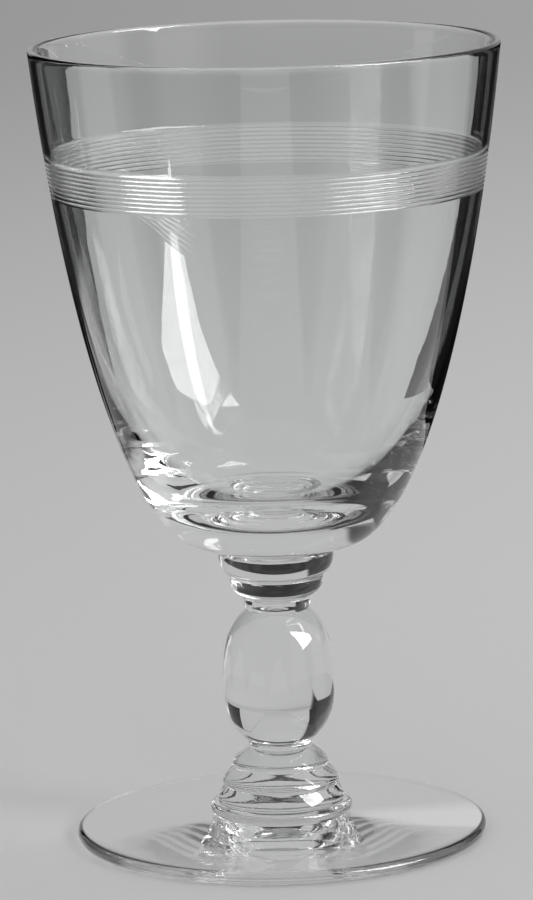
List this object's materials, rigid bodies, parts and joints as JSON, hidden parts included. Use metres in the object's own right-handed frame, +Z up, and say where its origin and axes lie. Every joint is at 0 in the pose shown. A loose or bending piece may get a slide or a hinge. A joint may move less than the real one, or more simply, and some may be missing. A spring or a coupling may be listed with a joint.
{
  "type": "water goblet",
  "caption": "Stemmed drinking glass in clear glass: a deep round-bottomed bowl with fine ground rings, a ringed stem with an oval knop, and a broad round foot.",
  "frame": {"origin": "centre of the foot, on the plane that the goblet stands on", "axes": "+Z up along the goblet's axis, towards the lip; the goblet is round, so X and Y are free"},
  "size_m": [0.09, 0.09, 0.1543],
  "materials": {
    "clear_glass": "clear, colourless, fire-polished",
    "ground_glass": "ground by a wheel and left grey and matt"
  },
  "bodies": {
    "root": {"foot": "clear_glass", "lower_collar": "clear_glass", "knop": "clear_glass", "upper_collar": "clear_glass", "bowl": "clear_glass"}
  },
  "joints": []
}
